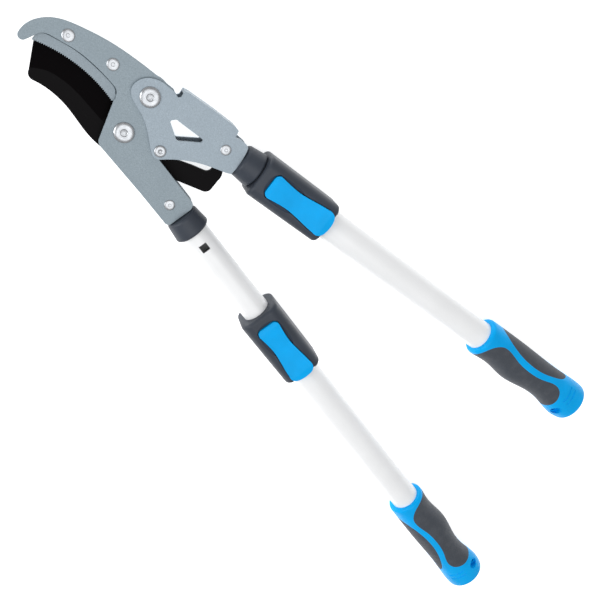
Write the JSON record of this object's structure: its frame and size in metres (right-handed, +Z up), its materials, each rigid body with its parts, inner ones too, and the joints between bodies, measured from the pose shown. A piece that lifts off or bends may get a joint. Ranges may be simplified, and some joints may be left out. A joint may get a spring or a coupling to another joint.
{
  "type": "bypass loppers",
  "caption": "Long-handled bypass loppers: a hooked serrated jaw, a lever-driven slotted blade, and telescopic handles with lock levers and moulded grips.",
  "frame": {"origin": "centre of the footprint at the lowest point, with the loppers lying flat and shut", "axes": "+X along the fixed handle from the jaw towards its grip, +Y towards the lever handle, +Z up, out of the face with the pivot bolts' heads"},
  "size_m": [0.7583, 0.254, 0.0423],
  "materials": {
    "hook_plate": "satin blasted and painted steel",
    "frame_plate": "satin blasted and painted steel",
    "serrated_insert": "satin blasted and painted steel",
    "jaw_rivets": "bright zinc plate",
    "blade_pivot_bolt": "bright zinc plate",
    "blade_pivot_nut": "bright zinc plate",
    "blade_pivot_spacer": "bare steel",
    "lever_pivot_bolt": "bright zinc plate",
    "lever_pivot_nut": "bright zinc plate",
    "lever_pivot_spacer": "bare steel",
    "left_socket": "fine-grained moulded nylon",
    "left_socket_screw": "bright zinc plate",
    "left_socket_nut": "bright zinc plate",
    "left_inner_tube": "white powder-coated aluminium",
    "left_tube_guide": "moulded acetal",
    "blade": "black non-stick coating on hardened steel",
    "blade_bush": "sintered bronze",
    "lever_channel": "satin blasted and painted steel",
    "cam_pin": "bright zinc plate",
    "cam_nut": "bright zinc plate",
    "cam_roller": "bare steel",
    "right_socket": "fine-grained moulded nylon",
    "right_socket_screw": "bright zinc plate",
    "right_socket_nut": "bright zinc plate",
    "right_inner_tube": "white powder-coated aluminium",
    "right_tube_guide": "moulded acetal",
    "left_clamp": "fine-grained moulded nylon",
    "left_outer_tube": "white powder-coated aluminium",
    "left_grip_core": "semi-gloss moulded plastic",
    "left_inner_pad": "soft matt rubber",
    "left_outer_pad": "soft matt rubber",
    "left_hinge_pin": "bare steel",
    "left_lock_spring": "bare steel",
    "left_lock_lever": "semi-gloss moulded plastic",
    "left_lock_tooth": "bare steel",
    "right_clamp": "fine-grained moulded nylon",
    "right_outer_tube": "white powder-coated aluminium",
    "right_grip_core": "semi-gloss moulded plastic",
    "right_inner_pad": "soft matt rubber",
    "right_outer_pad": "soft matt rubber",
    "right_hinge_pin": "bare steel",
    "right_lock_spring": "bare steel",
    "right_lock_lever": "semi-gloss moulded plastic",
    "right_lock_tooth": "bare steel"
  },
  "bodies": {
    "hook_frame": {"hook_plate": "hook_plate", "frame_plate": "frame_plate", "serrated_insert": "serrated_insert", "jaw_rivets": "jaw_rivets", "blade_pivot_bolt": "blade_pivot_bolt", "blade_pivot_nut": "blade_pivot_nut", "blade_pivot_spacer": "blade_pivot_spacer", "lever_pivot_bolt": "lever_pivot_bolt", "lever_pivot_nut": "lever_pivot_nut", "lever_pivot_spacer": "lever_pivot_spacer", "left_socket": "left_socket", "left_socket_screw": "left_socket_screw", "left_socket_nut": "left_socket_nut", "left_inner_tube": "left_inner_tube", "left_tube_guide": "left_tube_guide"},
    "blade": {"blade": "blade", "blade_bush": "blade_bush"},
    "lever": {"lever_channel": "lever_channel", "cam_pin": "cam_pin", "cam_nut": "cam_nut", "cam_roller": "cam_roller", "right_socket": "right_socket", "right_socket_screw": "right_socket_screw", "right_socket_nut": "right_socket_nut", "right_inner_tube": "right_inner_tube", "right_tube_guide": "right_tube_guide"},
    "left_slider": {"left_clamp": "left_clamp", "left_outer_tube": "left_outer_tube", "left_grip_core": "left_grip_core", "left_inner_pad": "left_inner_pad", "left_outer_pad": "left_outer_pad", "left_hinge_pin": "left_hinge_pin", "left_lock_spring": "left_lock_spring"},
    "left_latch": {"left_lock_lever": "left_lock_lever", "left_lock_tooth": "left_lock_tooth"},
    "right_slider": {"right_clamp": "right_clamp", "right_outer_tube": "right_outer_tube", "right_grip_core": "right_grip_core", "right_inner_pad": "right_inner_pad", "right_outer_pad": "right_outer_pad", "right_hinge_pin": "right_hinge_pin", "right_lock_spring": "right_lock_spring"},
    "right_latch": {"right_lock_lever": "right_lock_lever", "right_lock_tooth": "right_lock_tooth"}
  },
  "joints": [
    {"name": "lever_pivot", "type": "hinge", "parent": "hook_frame", "child": "lever", "pos_m": [-0.28295, -0.06097, 0.0196], "axis": [0, 0, 1], "range_deg": [0, 75]},
    {"name": "blade_pivot", "type": "hinge", "parent": "hook_frame", "child": "blade", "pos_m": [-0.27235, -0.09527, 0.0196], "axis": [0, 0, 1], "range_deg": [0, 43.5]},
    {"name": "left_telescope", "type": "slide", "parent": "hook_frame", "child": "left_slider", "axis": [1, 0, 0], "range_m": [-0.0985, 0.197]},
    {"name": "right_telescope", "type": "slide", "parent": "lever", "child": "right_slider", "axis": [0.9542, 0.299, 0], "range_m": [0, 0.2955]},
    {"name": "left_lock", "type": "hinge", "parent": "left_slider", "child": "left_latch", "pos_m": [-0.02735, -0.10187, 0.0376], "axis": [0, 1, 0], "range_deg": [0, 5.5], "stiffness_Nm_per_rad": 0.35, "springref_deg": -6.88, "deforming": ["left_lock_spring"]},
    {"name": "right_lock", "type": "hinge", "parent": "right_slider", "child": "right_latch", "pos_m": [-0.13817, -0.01366, 0.0376], "axis": [-0.299, 0.9542, 0], "range_deg": [0, 5.5], "stiffness_Nm_per_rad": 0.35, "springref_deg": -6.88, "deforming": ["right_lock_spring"]}
  ],
  "couplings": [
    {"joint": "blade_pivot", "follows": "lever_pivot", "ratio": 0.58}
  ]
}
